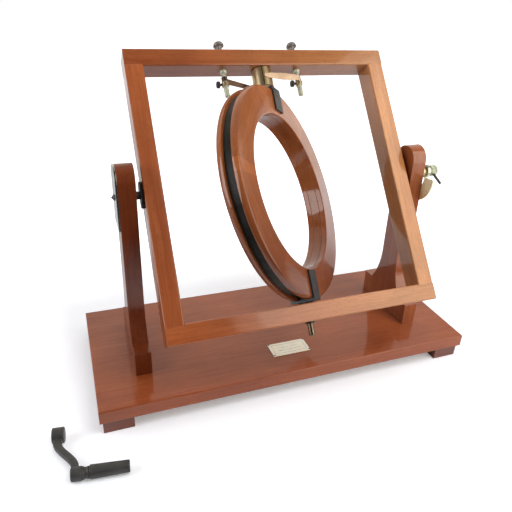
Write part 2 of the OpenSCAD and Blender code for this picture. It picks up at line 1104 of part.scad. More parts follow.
// U-shaped strap over the rim, seen along X, opening downward. The block is let into the rim.
module strap_outline(leg, block) {
    inside = ring_thickness / 2;
    outside = inside + strap_thickness;
    difference() {
        union() {
            translate([-outside, -leg])
                square([2 * outside, leg]);
            translate([-inside, -leg])
                square([2 * inside, leg + strap_thickness]);
            for (side = [-1, 1])
                translate([side * inside, 0])
                    circle(r = strap_thickness, $fn = small_fn);
        }
        translate([-inside, -leg - 1])
            square([2 * inside, leg + 1 - block]);
    }
}

module strap(end, leg, block) {
    color(black_iron)
        in_ring()
            mirror([0, 0, end > 0 ? 0 : 1])
                difference() {
                    translate([0, 0, ring_radius])
                        rotate([90, 0, 90])
                            linear_extrude(strap_width, center = true)
                                strap_outline(leg, block);
                    cylinder(h = 2 * ring_radius, r = spindle_radius);
                    at_strap_screws() screw_seat(strap_screw[0], strap_screw[1], strap_screw[2]);
                }
}

module top_strap() {
    strap(1, top_strap_leg, 0);
}

module bottom_strap() {
    strap(-1, bottom_strap_leg, strap_block);
}

module strap_screws() {
    color(black_iron)
        in_ring()
            at_strap_screws() wood_screw(strap_screw[0], strap_screw[1], strap_screw[2]);
}

module upper_spindle() {
    color(nickel)
        in_frame()
            translate([0, 0, ring_top + 0.1])
                cylinder(h = rail_under + bearing_depth - 3 - ring_top, r = spindle_radius);
}

module lower_spindle() {
    chamfer = 0.8;
    end_v = -half_height - spindle_reach;
    shoulder_v = -half_height - 2.4;
    color(black_iron)
        in_frame() {
            translate([0, 0, shoulder_v])
                cylinder(h = ring_bottom + strap_block - shoulder_v - 0.1, r = spindle_radius);
            translate([0, 0, end_v + chamfer])
                cylinder(h = shoulder_v - end_v - chamfer + 0.5, r = drive_radius);
            translate([0, 0, end_v])
                cylinder(h = chamfer + 0.01, r1 = drive_radius - chamfer, r2 = drive_radius);
        }
}

// Commutator: an insulating core with a foot, and two brass half shells with a slot between them

module commutator_core() {
    core = commutator_radius - segment_thickness;
    foot = 1.6;
    color("#241f1c")
        in_frame()
            difference() {
                union() {
                    translate([0, 0, core_base])
                        cylinder(h = segment_base - core_base, r = core + foot);
                    cylinder(h = segment_top, r = core);
                }
                cylinder(h = 2 * rail_under, r = spindle_radius);
                translate([0, 0, -1])
                    cylinder(h = core_base + 1, r = commutator_radius + 5);
                in_lead_holes();
            }
}

// Room for the two leads where they enter the core's foot
module in_lead_holes() {
    rotate([0, 0, coil_turn])
        translate([0, 0, core_base + 1.6])
            rotate([0, 90, 0])
                cylinder(h = 4 * commutator_radius, r = 0.8, center = true, $fn = small_fn);
}

module segment(face) {
    slot = 1.5;
    core = commutator_radius - segment_thickness;
    color(brass)
        in_frame()
            rotate([0, 0, coil_turn - slot_angle])
                translate([0, 0, segment_base])
                    difference() {
                        cylinder(h = segment_height, r = commutator_radius);
                        translate([0, 0, -1])
                            cylinder(h = segment_height + 2, r = core);
                        translate([-face * (commutator_radius + 2) + face * slot / 2, 0, segment_height / 2])
                            cube([2 * commutator_radius + 4, 4 * commutator_radius, segment_height + 2], center = true);
                    }
}

module front_segment() {
    segment(1);
}

module back_segment() {
    segment(-1);
}

// Crank: a cast arm with a double bend between its socket boss and the hub of the grip

// Straight length of the arm, seen from above, along -Y from the origin
module arm_straight(length, width) {
    translate([-width / 2, -length])
        square([width, length]);
}

// Bend of the arm, seen from above, from the origin along -Y and round towards +X
module arm_curve() {
    far = 2 * arm_bend + arm_width;
    translate([arm_bend, 0])
        intersection() {
            difference() {
                circle(r = arm_bend + arm_width / 2, $fn = 144);
                circle(r = arm_bend - arm_width / 2, $fn = 144);
            }
            polygon([
                [0, 0],
                [-far, 0],
                [-far * cos(arm_angle / 2), -far * sin(arm_angle / 2)],
                [-far * cos(arm_angle), -far * sin(arm_angle)]
            ]);
        }
}

// Double bend of the arm from the socket's axis to the grip's axis
module arm_path() {
    joint = 0.5;
    arm_x = hub_x - hub_length / 2 + arm_width / 2 + 0.3;
    drop_in_bends = 2 * arm_bend * sin(arm_angle);
    shift_in_bends = 2 * arm_bend * (1 - cos(arm_angle));
    link = (arm_x - shift_in_bends) / sin(arm_angle);
    first = (crank_throw - drop_in_bends - link * cos(arm_angle)) * 0.62;
    last = crank_throw - drop_in_bends - link * cos(arm_angle) - first;
    arm_straight(first, arm_width);
    translate([0, -first]) {
        arm_curve();
        translate([arm_bend * (1 - cos(arm_angle)), -arm_bend * sin(arm_angle)])
            rotate(arm_angle)
                translate([0, joint])
                    arm_straight(link + 2 * joint, arm_width - 0.1);
    }
    translate([arm_x, last - crank_throw]) {
        arm_straight(last, arm_width);
        rotate(180)
            arm_curve();
    }
}

module crank_arm() {
    color(black_iron)
        in_crank()
            difference() {
                union() {
                    rod_x(-socket_length / 2, socket_length / 2, socket_radius);
                    linear_extrude(arm_height, center = true)
                        arm_path();
                    translate([0, -crank_throw, 0])
                        rod_x(hub_x - hub_length / 2, hub_x + hub_length / 2, hub_radius);
                }
                rod_x(-socket_length / 2 - 1, -socket_length / 2 + socket_depth, socket_bore);
                translate([0, -crank_throw, 0])
                    rod_x(hub_x, hub_x + hub_length, stud_radius);
            }
}

module in_grip() {
    in_crank()
        translate([0, -crank_throw, 0])
            children();
}

module crank_collar() {
    color(black_iron)
        in_grip()
            tube_x(hub_x + hub_length / 2, hub_x + hub_length / 2 + collar_length, 6.2, stud_radius);
}

module crank_pin() {
    head_radius = 4;
    head_height = 1.6;
    color(nickel)
        in_grip() {
            rod_x(hub_x, grip_start + grip_length - head_height, stud_radius);
            rod_x(grip_start + grip_length - head_height - 0.01, grip_start + grip_length, head_radius);
        }
}

// Turning grip, a little thicker towards the arm, with rounded ends and a seat for the pin's head
module crank_grip() {
    near = 7.5;
    far = 6.6;
    bore = stud_radius + running;
    seat_radius = 4.3;
    seat_depth = 2;
    rounding = 1.2;
    color(black_iron)
        in_grip()
            translate([grip_start, 0, 0])
                rotate([0, 90, 0])
                    rotate_extrude()
                        difference() {
                            union() {
                                polygon([
                                    [bore, 0],
                                    [near - rounding, 0],
                                    [near, rounding],
                                    [far, grip_length - rounding],
                                    [far - rounding, grip_length],
                                    [bore, grip_length]
                                ]);
                                translate([near - rounding, rounding])
                                    circle(r = rounding, $fn = small_fn);
                                translate([far - rounding, grip_length - rounding])
                                    circle(r = rounding, $fn = small_fn);
                            }
                            translate([0, grip_length - seat_depth])
                                square([seat_radius, seat_depth + 1]);
                        }
}

baseboard();
feet();
foot_screws();
left_upright();
right_upright();
upright_screws();
left_bush();
right_bush();
left_bearing_plate();
bearing_plate_screws();
label_plate();
label_pins();
scale_arc();
scale_screws();
top_rail();
bottom_rail();
left_stile();
right_stile();
left_trunnion_plate();
right_trunnion_plate();
trunnion_plate_screws();
left_trunnion_pin();
right_trunnion_pin();
index_pointer();
distance_sleeve();
clamp_washer();
top_bearing();
bottom_bearing();
left_brush_post();
right_brush_post();
terminal_washers();
left_brush_leaf();
right_brush_leaf();
left_brush_clamp();
right_brush_clamp();
left_thumb_screw();
right_thumb_screw();
left_terminal_cap();
right_terminal_cap();
front_flange();
back_flange();
ring_core();
coil_winding();
coil_leads();
top_strap();
bottom_strap();
strap_screws();
upper_spindle();
lower_spindle();
commutator_core();
front_segment();
back_segment();
clamp_nut();
clamp_lever();
crank_arm();
crank_collar();
crank_pin();
crank_grip();
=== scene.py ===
import json
import math

import bmesh
import bpy
from mathutils import Matrix, Vector

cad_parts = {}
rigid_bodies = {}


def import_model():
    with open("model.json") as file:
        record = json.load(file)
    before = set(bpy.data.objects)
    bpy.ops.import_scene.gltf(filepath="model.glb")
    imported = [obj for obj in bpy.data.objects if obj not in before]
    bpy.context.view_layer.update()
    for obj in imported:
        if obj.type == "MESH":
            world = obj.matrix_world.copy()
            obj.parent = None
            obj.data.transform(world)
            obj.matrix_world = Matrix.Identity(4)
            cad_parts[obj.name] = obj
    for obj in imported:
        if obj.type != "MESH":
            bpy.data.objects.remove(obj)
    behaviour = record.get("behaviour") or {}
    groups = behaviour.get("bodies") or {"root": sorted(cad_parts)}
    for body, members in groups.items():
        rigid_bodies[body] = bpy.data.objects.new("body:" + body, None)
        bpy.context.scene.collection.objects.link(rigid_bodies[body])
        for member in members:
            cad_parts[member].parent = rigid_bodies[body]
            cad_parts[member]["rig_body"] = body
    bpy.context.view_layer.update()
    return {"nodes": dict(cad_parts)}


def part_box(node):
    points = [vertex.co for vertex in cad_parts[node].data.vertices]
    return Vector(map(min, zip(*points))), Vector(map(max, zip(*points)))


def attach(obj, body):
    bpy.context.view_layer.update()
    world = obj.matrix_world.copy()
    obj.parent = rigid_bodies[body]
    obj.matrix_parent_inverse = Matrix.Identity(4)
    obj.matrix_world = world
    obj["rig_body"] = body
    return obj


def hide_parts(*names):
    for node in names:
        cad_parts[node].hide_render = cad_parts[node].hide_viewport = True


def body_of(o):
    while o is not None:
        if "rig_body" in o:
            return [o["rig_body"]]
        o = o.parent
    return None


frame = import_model()
NODES = frame["nodes"]

# Axes of the room
X = Vector((1, 0, 0))
Y = Vector((0, 1, 0))
Z = Vector((0, 0, 1))

# The tilting frame: U runs up along its stiles, N out of its front
TILT = math.radians(38.3)
PIVOT = Vector((0, 0, 0.2515))
U = Vector((0, math.sin(TILT), math.cos(TILT)))
N = Vector((0, -math.cos(TILT), math.sin(TILT)))

# The ring, turned about U: RING_SIDE runs across it, RING_FRONT out of its front
TURN = math.radians(44)
RING_SIDE = math.cos(TURN) * X - math.sin(TURN) * N
RING_FRONT = math.sin(TURN) * X + math.cos(TURN) * N
RING_CENTRE = PIVOT - 0.014 * U

# Sizes of the ring, in millimetres
HOLE_RADIUS = 99.0
CORE_RADIUS = 112.0
WINDING_RADIUS = 131.45
RIM_RADIUS = 136.0
GROOVE_HALF = 5.9
RING_HALF = 13.5

# Places on the frame, in millimetres: along X, behind its middle (minus is in front), up along U
POSTS = {"left": -52.2, "right": 49.3}
POST_DEPTH = -2.5
THUMB_HEIGHT = 133.8
LEAF_HEIGHT = 140.5
RAIL_TOP = 176.0


class Nodes:
    """Short names for building a node tree"""

    def __init__(self, tree):
        self.tree = tree
        self.tree.nodes.clear()
        self.place = None

    def add(self, kind, **settings):
        node = self.tree.nodes.new(kind)
        for key, value in settings.items():
            setattr(node, key, value)
        return node

    def put(self, socket, value):
        """Link a socket, or set its value"""
        if isinstance(value, bpy.types.NodeSocket):
            self.tree.links.new(value, socket)
        else:
            socket.default_value = value

    def coords(self, kind="Object"):
        if self.place is None:
            self.place = self.add("ShaderNodeTexCoord").outputs[kind]
        return self.place

    def maths(self, operation, a, b=0.0):
        node = self.add("ShaderNodeMath", operation=operation)
        self.put(node.inputs[0], a)
        self.put(node.inputs[1], b)
        return node.outputs[0]

    def plus(self, a, b):
        return self.maths("ADD", a, b)

    def minus(self, a, b):
        return self.maths("SUBTRACT", a, b)

    def times(self, a, b):
        return self.maths("MULTIPLY", a, b)

    def higher(self, a, b):
        return self.maths("MAXIMUM", a, b)

    def size(self, a):
        return self.maths("ABSOLUTE", a)

    def dot(self, vector, axis, centre=None):
        """Distance of a point along an axis, from the origin or from a centre"""
        source = vector
        if centre is not None:
            shift = self.add("ShaderNodeVectorMath", operation="SUBTRACT")
            self.put(shift.inputs[0], vector)
            shift.inputs[1].default_value = tuple(centre)
            source = shift.outputs[0]
        node = self.add("ShaderNodeVectorMath", operation="DOT_PRODUCT")
        self.put(node.inputs[0], source)
        node.inputs[1].default_value = tuple(axis)
        return node.outputs["Value"]

    def length(self, vector):
        node = self.add("ShaderNodeVectorMath", operation="LENGTH")
        self.put(node.inputs[0], vector)
        return node.outputs["Value"]

    def combine(self, x, y, z):
        node = self.add("ShaderNodeCombineXYZ")
        for socket, value in zip(node.inputs, (x, y, z)):
            self.put(socket, value)
        return node.outputs[0]

    def stretch(self, vector, scale, shift=(0, 0, 0)):
        """Vector times a scale, one number or three, plus a shift"""
        node = self.add("ShaderNodeMapping")
        self.put(node.inputs["Vector"], vector)
        node.inputs["Scale"].default_value = scale if isinstance(scale, tuple) else (scale,) * 3
        node.inputs["Location"].default_value = shift
        return node.outputs[0]

    def noise(self, vector, detail, rough=0.5, distort=0.0):
        node = self.add("ShaderNodeTexNoise")
        self.put(node.inputs["Vector"], vector)
        node.inputs["Scale"].default_value = 1.0
        node.inputs["Detail"].default_value = detail
        node.inputs["Roughness"].default_value = rough
        node.inputs["Distortion"].default_value = distort
        return node.outputs["Fac"]

    def ramp(self, factor, stops):
        """Colour from a list of (place, colour) stops"""
        node = self.add("ShaderNodeValToRGB")
        points = node.color_ramp.elements
        while len(points) < len(stops):
            points.new(0.5)
        for point, (at, colour) in zip(points, stops):
            point.position = at
            point.color = (*colour, 1)
        self.put(node.inputs[0], factor)
        return node.outputs[0]

    def grey(self, factor, stops):
        return self.ramp(factor, [(at, (value,) * 3) for at, value in stops])

    def mix(self, factor, a, b, blend="MIX"):
        node = self.add("ShaderNodeMix", data_type="RGBA", blend_type=blend)
        self.put(node.inputs["Factor"], factor)
        self.put(node.inputs[6], a)
        self.put(node.inputs[7], b)
        return node.outputs[2]

    def tint(self, a, b):
        """One colour multiplied by another"""
        return self.mix(1.0, a, b, "MULTIPLY")

    def remap(self, value, low, high, to_low, to_high, ease="LINEAR"):
        """Value carried from one range to another and held at its ends"""
        node = self.add("ShaderNodeMapRange", interpolation_type=ease)
        for socket, item in zip(node.inputs, (value, low, high, to_low, to_high)):
            self.put(socket, item)
        return node.outputs[0]

    def fade(self, value, low, high, to_low, to_high):
        return self.remap(value, low, high, to_low, to_high, "SMOOTHSTEP")


class Look(Nodes):
    """A material with one Principled shader"""

    def __init__(self, name):
        self.material = bpy.data.materials.new(name)
        self.material.use_nodes = True
        super().__init__(self.material.node_tree)
        output = self.add("ShaderNodeOutputMaterial")
        self.shader = self.add("ShaderNodeBsdfPrincipled")
        self.put(output.inputs[0], self.shader.outputs[0])

    def base(self, **values):
        """Set the shader's sockets, with _ for each space in their names"""
        for key, value in values.items():
            self.put(self.shader.inputs[key.replace("_", " ")], value)

    def bump(self, height, strength, distance, normal):
        node = self.add("ShaderNodeBump")
        self.put(node.inputs["Height"], height)
        node.inputs["Strength"].default_value = strength
        node.inputs["Distance"].default_value = distance
        self.put(node.inputs["Normal"], normal)
        return node.outputs[0]

    def arris(self, radius):
        """Normal that rounds sharp edges by a radius"""
        node = self.add("ShaderNodeBevel", samples=6)
        node.inputs["Radius"].default_value = radius
        return node.outputs[0]


# Tones of the woods: dark, middle and light
MAHOGANY = ((0.333, 0.072, 0.018), (0.397, 0.100, 0.028), (0.466, 0.131, 0.040))
# The tone below is mahogany made lighter and yellower: painted light for the right side, where the key
# light falls
PAINTED_LIGHT_HONEY = ((0.480, 0.184, 0.061), (0.568, 0.233, 0.080), (0.656, 0.284, 0.104))
RED = ((0.262, 0.056, 0.016), (0.314, 0.073, 0.022), (0.365, 0.093, 0.030))
RING = ((0.306, 0.081, 0.020), (0.367, 0.106, 0.029), (0.428, 0.135, 0.039))
DARK = ((0.132, 0.023, 0.006), (0.171, 0.033, 0.008), (0.209, 0.045, 0.012))
TONE_STOPS = (0.34, 0.5, 0.66)

# Grain features to the metre: along, across and through the wood
RIBBON = (4, 45, 45)
STREAK = (9, 300, 300)
FIBRE = (40, 1500, 1500)
PORE = (130, 2600, 2600)
# Width of the grain's slow sway, in metres
SWAY = 0.012

# The ring is built up of segments: their number, half the width of a joint from its dark middle
# to its soft edge, and the step along the grain from one segment to the next, in metres
SEGMENTS = 6
JOINT_HALF = (0.00006, 0.00016)
SEGMENT_STEP = 0.37


def shaded(tone, share):
    return tuple(tuple(c * share for c in colour) for colour in tone)


def solid(colour, share=1.0):
    return (*[c * share for c in colour], 1)


def waver(g, p, seed):
    """Slow sway of the grain, in metres"""
    warp = g.noise(g.stretch(p, 9, (seed, seed, 0)), 2.0)
    return g.times(g.minus(warp, 0.5), SWAY)


def figured(g, space, seed):
    """Figure of the grain, and its narrow streaks alone"""
    broad = g.noise(g.stretch(space, RIBBON, (seed, 1.7 * seed, 0)), 3.0, 0.5, 0.4)
    streak = g.noise(g.stretch(space, STREAK, (2 * seed, seed, 5)), 3.0, 0.6)
    return g.plus(g.times(broad, 0.5), g.times(streak, 0.5)), streak


def toned(g, figure, tone):
    return g.ramp(figure, list(zip(TONE_STOPS, tone)))


def polished(g, p, space, colour, streak, tone, seed, coat, worn=0.2, tones_and_shade=None):
    """Fibres, blotches and pores over the wood's colour, and a clear polish"""
    fibre = g.noise(g.stretch(space, FIBRE, (seed, 3, 1)), 2.0, 0.6)
    colour = g.tint(colour, g.grey(fibre, [(0.25, 0.88), (0.6, 1.03)]))
    blotch = g.noise(g.stretch(p, 14, (0, seed, seed)), 3.0, 0.55)
    colour = g.tint(colour, g.grey(blotch, [(0.36, 0.86), (0.64, 1.0)]))
    # Tint given for the ring: segment tones with painted shade
    if tones_and_shade:
        colour = g.tint(colour, tones_and_shade)
    pores = g.grey(g.noise(g.stretch(space, PORE, (seed, 8, 2)), 1.0), [(0.62, 0.0), (0.72, 1.0)])
    g.base(Base_Color=g.mix(g.times(pores, 0.55), colour, solid(tone[0], 0.35)))
    smudge = g.noise(g.stretch(p, 22, (seed, 0, 0)), 4.0, 0.6)
    g.base(Roughness=g.remap(smudge, 0.3, 0.7, 0.36, 0.5), Specular_IOR_Level=0.1)
    g.base(Coat_Weight=coat, Coat_IOR=1.6)
    g.base(Coat_Roughness=g.remap(smudge, 0.3, 0.75, 0.05, 0.09 + 0.12 * worn))
    edge = g.arris(0.0009)
    g.base(Normal=g.bump(g.minus(streak, pores), 0.12, 0.0004, edge))
    g.base(Coat_Normal=g.bump(smudge, 0.05, 0.002, edge))
    return g.material


def wood(name, along, across, tone, seed, coat=1.0, worn=0.2, painted_light_tone=None, shaded_inner_face=None):
    """Straight board: a lighter tone for the right side takes over towards +X as painted light, and an
    inner face, given by its X, carries painted shade
    """
    g = Look(name)
    p = g.coords()
    sway = waver(g, p, seed)
    through = along.cross(across)
    space = g.combine(g.dot(p, along), g.plus(g.dot(p, across), sway), g.plus(g.dot(p, through), sway))
    figure, streak = figured(g, space, seed)
    colour = toned(g, figure, tone)
    # Painted light: towards the right, where the key light falls, the board turns to the lighter tone
    if painted_light_tone:
        painted_light_share = g.remap(g.dot(p, X), -0.10, 0.15, 0.0, 1.0)
        colour = g.mix(painted_light_share, colour, toned(g, figure, painted_light_tone))
    if shaded_inner_face:
        # Painted shade on that face, stronger lower down than higher up
        shaded_face_mask = g.remap(g.dot(p, X), shaded_inner_face + 0.0002, shaded_inner_face + 0.0008, 1.0, 0.0)
        painted_shade_share = g.times(shaded_face_mask, g.remap(g.dot(p, U, PIVOT), 0.02, 0.12, 0.42, 0.0))
        colour = g.mix(painted_shade_share, colour, solid(tone[0], 0.2))
    return polished(g, p, space, colour, streak, tone, seed, coat, worn)


def ring_wood(name, tone, seed):
    """Wood in segments round the ring, each with its grain along the chord and its own tone, and painted
    shade that darkens the ring low down
    """
    g = Look(name)
    p = g.coords()
    sway = waver(g, p, seed)
    first = 0.01 * seed
    outward = g.dot(p, RING_SIDE, RING_CENTRE)
    upward = g.dot(p, U, RING_CENTRE)
    turn = g.times(g.maths("ARCTAN2", upward, outward), SEGMENTS / (2 * math.pi))
    turn = g.plus(turn, first)
    number = g.maths("FLOOR", turn)
    middle = g.times(g.plus(number, 0.5 - first), 2 * math.pi / SEGMENTS)
    cosine = g.maths("COSINE", middle)
    sine = g.maths("SINE", middle)
    chord = g.minus(g.times(upward, cosine), g.times(outward, sine))
    chord = g.plus(chord, g.times(number, SEGMENT_STEP))
    radial = g.plus(g.times(outward, cosine), g.times(upward, sine))
    space = g.combine(chord, g.plus(radial, sway), g.plus(g.dot(p, RING_FRONT, RING_CENTRE), sway))
    figure, streak = figured(g, space, seed)

    # Own tone of each segment; painted shade, darker and redder low on the ring; and a thin line at each
    # joint
    pick = g.add("ShaderNodeTexWhiteNoise", noise_dimensions="1D")
    g.put(pick.inputs["W"], g.plus(number, seed))
    own = g.remap(pick.outputs["Value"], 0.0, 1.0, 0.86, 1.08)
    # Painted shade: darker low on the ring
    own = g.times(own, g.remap(upward, -0.10, 0.02, 0.56, 1.0))
    from_joint = g.times(g.maths("PINGPONG", turn, 0.5), radial)
    own = g.times(own, g.remap(from_joint, *JOINT_HALF, 0.5, 1.0))
    # Painted shade: green and blue fall further low on the ring, so it turns redder there
    weaker = g.times(own, g.remap(upward, -0.10, 0.02, 0.86, 1.0))
    tones_and_shade = g.combine(own, weaker, weaker)
    return polished(g, p, space, toned(g, figure, tone), streak, tone, seed, 0.8, tones_and_shade=tones_and_shade)


def metal(name, bright, dull, rough, seed, metallic=1.0):
    """Bright metal with dull clouds and fine brushing"""
    g = Look(name)
    p = g.coords()
    cloud = g.noise(g.stretch(p, 60, (seed, 0, 0)), 4.0, 0.6)
    speck = g.noise(g.stretch(p, 900, (0, seed, 0)), 2.0)
    wear = g.plus(g.times(cloud, 0.7), g.times(speck, 0.3))
    g.base(Base_Color=g.ramp(wear, [(0.38, dull), (0.68, bright)]), Metallic=metallic)
    g.base(Roughness=g.remap(wear, 0.35, 0.65, rough * 1.35, rough * 0.85))
    brushed = g.noise(g.stretch(p, (700, 700, 90), (seed, 1, 2)), 3.0, 0.6)
    g.base(Normal=g.bump(brushed, 0.10, 0.0002, g.arris(0.00035)))
    return g.material


def paint(name, colour, worn, rough, seed):
    """Paint or other dull skin with paler clouds and fine pits"""
    g = Look(name)
    p = g.coords()
    cloud = g.noise(g.stretch(p, 70, (seed, 0, 0)), 4.0, 0.6)
    pit = g.noise(g.stretch(p, 1400, (0, seed, 0)), 2.0, 0.6)
    g.base(Base_Color=g.ramp(cloud, [(0.35, colour), (0.68, worn)]))
    g.base(Roughness=g.remap(pit, 0.3, 0.7, rough * 0.8, rough * 1.2))
    g.base(Normal=g.bump(pit, 0.15, 0.0003, g.arris(0.0004)))
    return g.material


# The label, in millimetres: how far its middle is in front of the base's, and the printed border's
# half sizes
LABEL_FORWARD = 58.8
LABEL_BORDER = (22.4, 8.7)
# Rows that stand for lettering: middle, half height, half length and seed
LABEL_ROWS = ((2.6, 1.0, 13.0, 2.0), (-3.0, 0.9, 17.0, 5.0))


def label_look():
    """Ivory with a thin printed border and two rows of marks that stand for lettering"""
    g = Look("ivory")
    p = g.coords()
    across = g.times(g.dot(p, X), 1000)
    along = g.plus(g.times(g.dot(p, Y), 1000), LABEL_FORWARD)
    far_x = g.size(across)
    far_y = g.size(along)
    edge = g.higher(g.minus(far_x, LABEL_BORDER[0]), g.minus(far_y, LABEL_BORDER[1]))
    ink = g.remap(g.size(edge), 0.12, 0.28, 1.0, 0.0)
    for middle, half, reach, seed in LABEL_ROWS:
        row = g.remap(g.size(g.minus(along, middle)), half - 0.15, half, 1.0, 0.0)
        row = g.times(row, g.remap(far_x, reach - 0.5, reach, 1.0, 0.0))
        mark = g.noise(g.combine(g.times(across, 1.1), g.times(along, 0.5), seed), 1.0)
        row = g.times(row, g.remap(mark, 0.50, 0.55, 0.0, 0.8))
        ink = g.higher(ink, row)
    age = g.noise(g.stretch(p, 120), 4.0, 0.6)
    ground = g.ramp(age, [(0.34, (0.96, 0.90, 0.72)), (0.60, (1.0, 0.97, 0.84))])
    g.base(Base_Color=g.mix(g.times(ink, 0.75), ground, (0.10, 0.085, 0.06, 1)))
    g.base(Roughness=g.remap(age, 0.3, 0.7, 0.3, 0.45))
    g.base(Coat_Weight=1.0, Coat_IOR=1.6, Coat_Roughness=0.25)
    g.base(Normal=g.bump(age, 0.08, 0.0003, g.arris(0.0004)))
    return g.material


# Divisions of the scale: degrees apart, and in millimetres where a line starts and half its width
DIVISIONS = ((2, 36.6, 0.10), (10, 34.6, 0.16), (30, 32.6, 0.2))


def scale_look():
    """Pale lacquered brass with blackened divisions"""
    g = Look("scale_brass")
    p = g.coords()
    across = g.times(g.dot(p, Y), 1000)
    above = g.times(g.dot(p, Z, PIVOT), 1000)
    radius = g.length(g.combine(across, above, 0.0))
    angle = g.maths("ARCTAN2", above, across)
    ink = 0.0
    for apart, start, half in DIVISIONS:
        turns = g.times(angle, 180 / (math.pi * apart))
        off = g.times(g.maths("PINGPONG", turns, 0.5), math.radians(apart))
        line = g.remap(g.times(off, radius), half * 0.6, half, 1.0, 0.0)
        line = g.times(line, g.remap(radius, start - 0.1, start + 0.1, 0.0, 1.0))
        ink = g.higher(ink, line)
    cloud = g.noise(g.stretch(p, 60), 4.0, 0.6)
    ground = g.ramp(cloud, [(0.38, (1.0, 0.96, 0.62)), (0.7, (1.0, 0.99, 0.74))])
    g.base(Base_Color=g.mix(g.times(ink, 0.85), ground, (0.05, 0.04, 0.03, 1)))
    g.base(Roughness=g.remap(cloud, 0.3, 0.7, 0.55, 0.42), Coat_Weight=0.4, Coat_Roughness=0.25)
    turned = g.noise(g.combine(g.times(radius, 9.0), g.times(angle, 2.0), 0.0), 2.0)
    g.base(Normal=g.bump(turned, 0.06, 0.0002, g.arris(0.0003)))
    return g.material


BRASS = metal("brass", (0.78, 0.64, 0.40), (0.52, 0.37, 0.20), 0.34, 1.0)
NICKEL = metal("nickel", (0.80, 0.84, 0.72), (0.50, 0.52, 0.42), 0.3, 3.0)
POST_NICKEL = metal("post_nickel", (0.74, 0.78, 0.62), (0.50, 0.50, 0.38), 0.38, 3.2, metallic=0.55)
CAP_NICKEL = metal("dull_nickel", (0.34, 0.33, 0.32), (0.20, 0.19, 0.18), 0.42, 3.5, metallic=0.6)
NUT_NICKEL = metal("nut_nickel", (0.62, 0.66, 0.52), (0.36, 0.38, 0.28), 0.42, 8.0, metallic=0.85)
STEEL = metal("bearing_steel", (0.70, 0.70, 0.67), (0.50, 0.49, 0.46), 0.16, 7.0)
SPINDLE_STEEL = metal("brown_steel", (0.30, 0.22, 0.15), (0.12, 0.08, 0.05), 0.22, 9.5)
LEVER_STEEL = metal("lever_steel", (0.22, 0.22, 0.23), (0.12, 0.12, 0.12), 0.36, 9.0)
LEAF = metal("leaf", (0.95, 0.72, 0.50), (0.74, 0.50, 0.33), 0.36, 4.0, metallic=0.7)
# The left leaf's brass made dark brown: painted shade, as its face towards the front lies in shadow
LEAF_IN_SHADE = metal("leaf_in_painted_shade", (0.26, 0.16, 0.11), (0.14, 0.09, 0.06), 0.34, 4.6)
IRON = paint("black_iron", (0.014, 0.014, 0.016), (0.035, 0.034, 0.034), 0.34, 5.0)
ENAMEL = paint("black_enamel", (0.028, 0.027, 0.026), (0.05, 0.048, 0.046), 0.42, 6.0)

# Look of each node: those with one of their own, then those that share one
LOOKS = {
    "baseboard": wood("base_wood", X, Y, RED, 3.1, coat=0.68),
    "feet": wood("foot_wood", X, Y, DARK, 4.7, worn=0.6),
    "left_upright": wood("left_upright_wood", Z, Y, DARK, 6.2, coat=0.65),
    "right_upright": wood("right_upright_wood", Z, Y, shaded(MAHOGANY, 0.84), 7.9),
    # Painted light: the rails turn lighter and yellower towards the right, and the right stile has the
    # lighter tone all over; painted shade darkens its inner face
    "top_rail": wood("top_rail_wood", X, U, shaded(MAHOGANY, 0.8), 1.3, painted_light_tone=shaded(PAINTED_LIGHT_HONEY, 0.78)),
    "bottom_rail": wood("bottom_rail_wood", X, U, MAHOGANY, 2.6, painted_light_tone=PAINTED_LIGHT_HONEY),
    "left_stile": wood("left_stile_wood", U, X, MAHOGANY, 5.4),
    "right_stile": wood("right_stile_wood", U, X, PAINTED_LIGHT_HONEY, 9.1, shaded_inner_face=0.153),
    "front_flange": ring_wood("front_flange_wood", RING, 11.3),
    "back_flange": ring_wood("back_flange_wood", RING, 12.8),
    "ring_core": ring_wood("core_wood", shaded(RING, 0.8), 12.1),
    "coil_winding": paint("winding", (0.009, 0.009, 0.007), (0.024, 0.022, 0.015), 0.45, 1.0),
    "coil_leads": paint("lead", (0.012, 0.013, 0.010), (0.03, 0.03, 0.025), 0.5, 2.0),
    "commutator_core": paint("fibre", (0.20, 0.12, 0.055), (0.30, 0.19, 0.09), 0.4, 4.0),
    "label_plate": label_look(),
    "scale_arc": scale_look(),
}
SHARED_LOOKS = [
    (BRASS, ["foot_screws", "upright_screws", "left_bush", "right_bush", "scale_screws", "top_bearing",
             "front_segment", "back_segment", "distance_sleeve", "left_brush_clamp",
             "right_brush_clamp"]),
    (NICKEL, ["right_trunnion_pin", "clamp_washer", "terminal_washers", "upper_spindle", "crank_pin"]),
    (POST_NICKEL, ["left_brush_post", "right_brush_post"]),
    (CAP_NICKEL, ["left_terminal_cap", "right_terminal_cap"]),
    (NUT_NICKEL, ["clamp_nut"]),
    (STEEL, ["left_bearing_plate", "bearing_plate_screws"]),
    (SPINDLE_STEEL, ["lower_spindle"]),
    (LEVER_STEEL, ["clamp_lever"]),
    (LEAF, ["right_brush_leaf"]),
    # Painted shade on the left leaf
    (LEAF_IN_SHADE, ["left_brush_leaf"]),
    (IRON, ["label_pins", "left_trunnion_plate", "right_trunnion_plate", "trunnion_plate_screws",
            "left_trunnion_pin", "index_pointer", "top_strap", "bottom_strap", "strap_screws",
            "left_thumb_screw", "right_thumb_screw", "bottom_bearing"]),
    (ENAMEL, ["crank_arm", "crank_collar", "crank_grip"]),
]
for shared, names in SHARED_LOOKS:
    LOOKS.update(dict.fromkeys(names, shared))
for name, cad_node in NODES.items():
    for item in cad_node.material_slots:
        item.material = LOOKS[name]
    if not cad_node.material_slots:
        cad_node.data.materials.append(LOOKS[name])


def on_frame(x, y, v):
    """A point of the tilting frame, in millimetres along X, behind its middle and up along U"""
    return PIVOT + (x * X - y * N + v * U) / 1000


